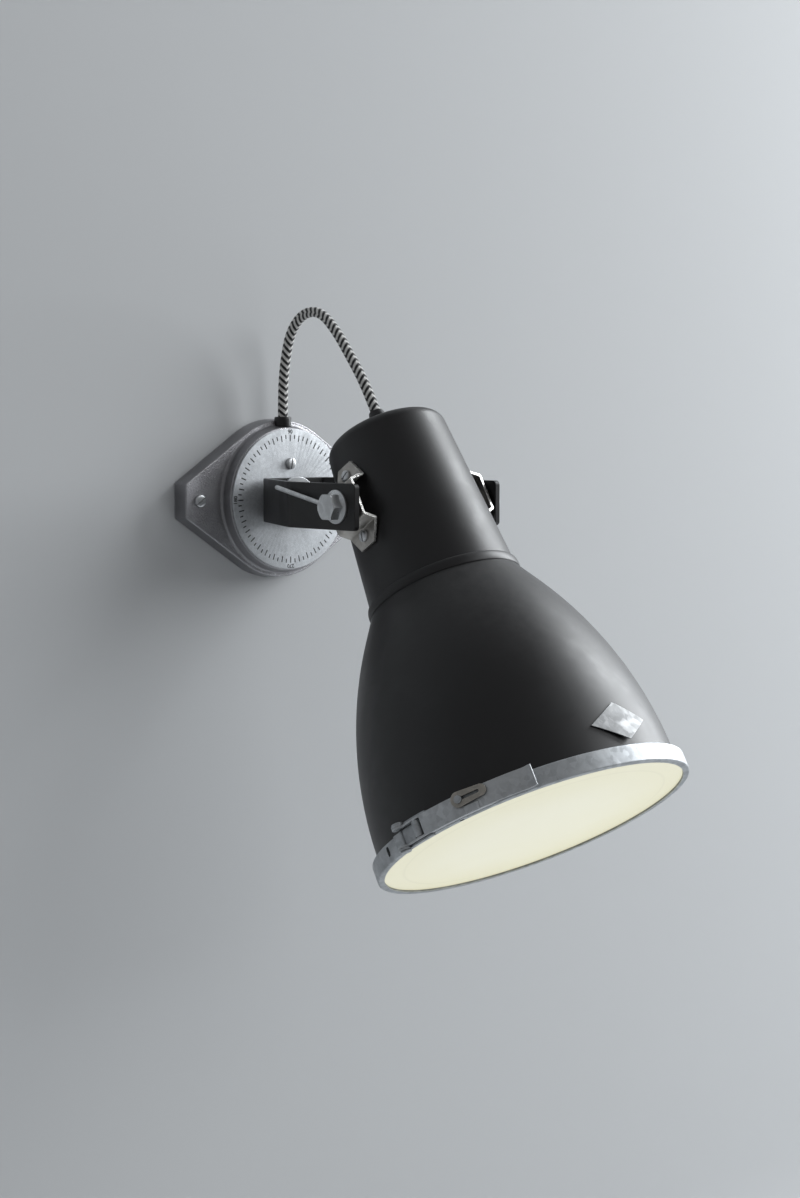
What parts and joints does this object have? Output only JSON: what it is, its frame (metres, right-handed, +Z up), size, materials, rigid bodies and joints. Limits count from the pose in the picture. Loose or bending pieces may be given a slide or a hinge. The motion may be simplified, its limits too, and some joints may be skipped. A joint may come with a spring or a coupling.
{
  "type": "wall spotlight",
  "caption": "Wall spotlight with a bell shade on a swivelling yoke, a degree dial, a braided cord and an opal lens held by a lever-latched clamp ring.",
  "frame": {"origin": "on the wall, where the swivel axis through the dial's centre meets it, midway between the two wall screws", "axes": "+Z up, +Y into the wall, +X to the right seen from the room; the lamp stands out toward -Y"},
  "size_m": [0.2144, 0.3616, 0.3842],
  "materials": {
    "cast_aluminium": "bare sand casting, smoother on the drum",
    "dial_metal": "fine blasted with dark engraved ticks and numbers",
    "bright_steel": "dull zinc",
    "black_bar": "semi-gloss black",
    "zinc_strip": "warm grey zinc with bright edges",
    "galvanised": "galvanised with a faint spangle",
    "shade_paint": "matt charcoal",
    "black_plastic": "smooth black",
    "brass": "turned",
    "holder_ceramic": "white ceramic",
    "bulb_cap_metal": "rolled thread",
    "bulb_opal": "opal",
    "gasket_rubber": "matt",
    "opal_glass": "opal, lit from inside",
    "cord_braid": "black and white zigzag braid"
  },
  "bodies": {
    "base": {"base_casting": "cast_aluminium", "dial_plate": "dial_metal", "dial_screw": "bright_steel", "base_gland": "black_plastic", "pivot_bolt": "bright_steel", "pivot_disc": "bright_steel", "pivot_spacer": "black_bar", "pivot_washer": "bright_steel", "pivot_spring": "bright_steel", "pivot_nut": "bright_steel", "terminal_block": "holder_ceramic", "earth_screw": "bright_steel", "cord": "cord_braid"},
    "yoke": {"yoke": "black_bar", "friction_washers": "black_bar", "tilt_bolt": "bright_steel"},
    "clamp": {"clamp_bolt": "bright_steel", "tommy_bar": "bright_steel"},
    "head": {"tilt_nuts": "bright_steel", "hat_bracket_left": "zinc_strip", "hat_bracket_right": "zinc_strip", "bracket_screws": "bright_steel", "bracket_nuts": "bright_steel", "neck_shell": "shade_paint", "bell_shell": "shade_paint", "shade_gland": "black_plastic", "nipple": "brass", "nipple_nut": "brass", "lamp_holder": "holder_ceramic", "bulb_cap": "bulb_cap_metal", "bulb_glass": "bulb_opal", "lens_gasket": "gasket_rubber", "lens": "opal_glass", "clamp_ring": "galvanised", "ring_lug": "galvanised", "lever_rivets": "galvanised"},
    "lever": {"latch_lever": "galvanised", "link_pin": "galvanised", "catch_rivet": "galvanised"},
    "link": {"latch_link": "galvanised"},
    "catch": {"catch_plate": "galvanised"}
  },
  "joints": [
    {"name": "yoke_swivel", "type": "hinge", "parent": "base", "child": "yoke", "pos_m": [0, -0.02715, 0], "axis": [0, 1, 0], "range_deg": [-90, 90], "deforming": ["cord"]},
    {"name": "head_tilt", "type": "hinge", "parent": "yoke", "child": "head", "pos_m": [0, -0.154, 0], "axis": [-1, 0, 0], "range_deg": [-36, 64], "deforming": ["cord"]},
    {"name": "clamp_turn", "type": "hinge", "parent": "yoke", "child": "clamp", "pos_m": [-0.0664, -0.154, 0], "axis": [-1, 0, 0], "range_deg": [0, 90]},
    {"name": "latch_open", "type": "hinge", "parent": "head", "child": "lever", "pos_m": [-0.10743, -0.27355, -0.19091], "axis": [0, -0.5165, -0.8563], "range_deg": [0, 135]},
    {"name": "link_swing", "type": "hinge", "parent": "lever", "child": "link", "pos_m": [-0.10474, -0.28534, -0.18379], "axis": [0, -0.5165, -0.8563], "range_deg": [-135, 0]},
    {"name": "catch_swing", "type": "hinge", "parent": "lever", "child": "catch", "pos_m": [-0.09589, -0.31159, -0.1642], "axis": [-0.8862, -0.3967, 0.2393], "range_deg": [0, 60]}
  ],
  "couplings": [
    {"joint": "link_swing", "follows": "latch_open", "ratio": -1}
  ]
}
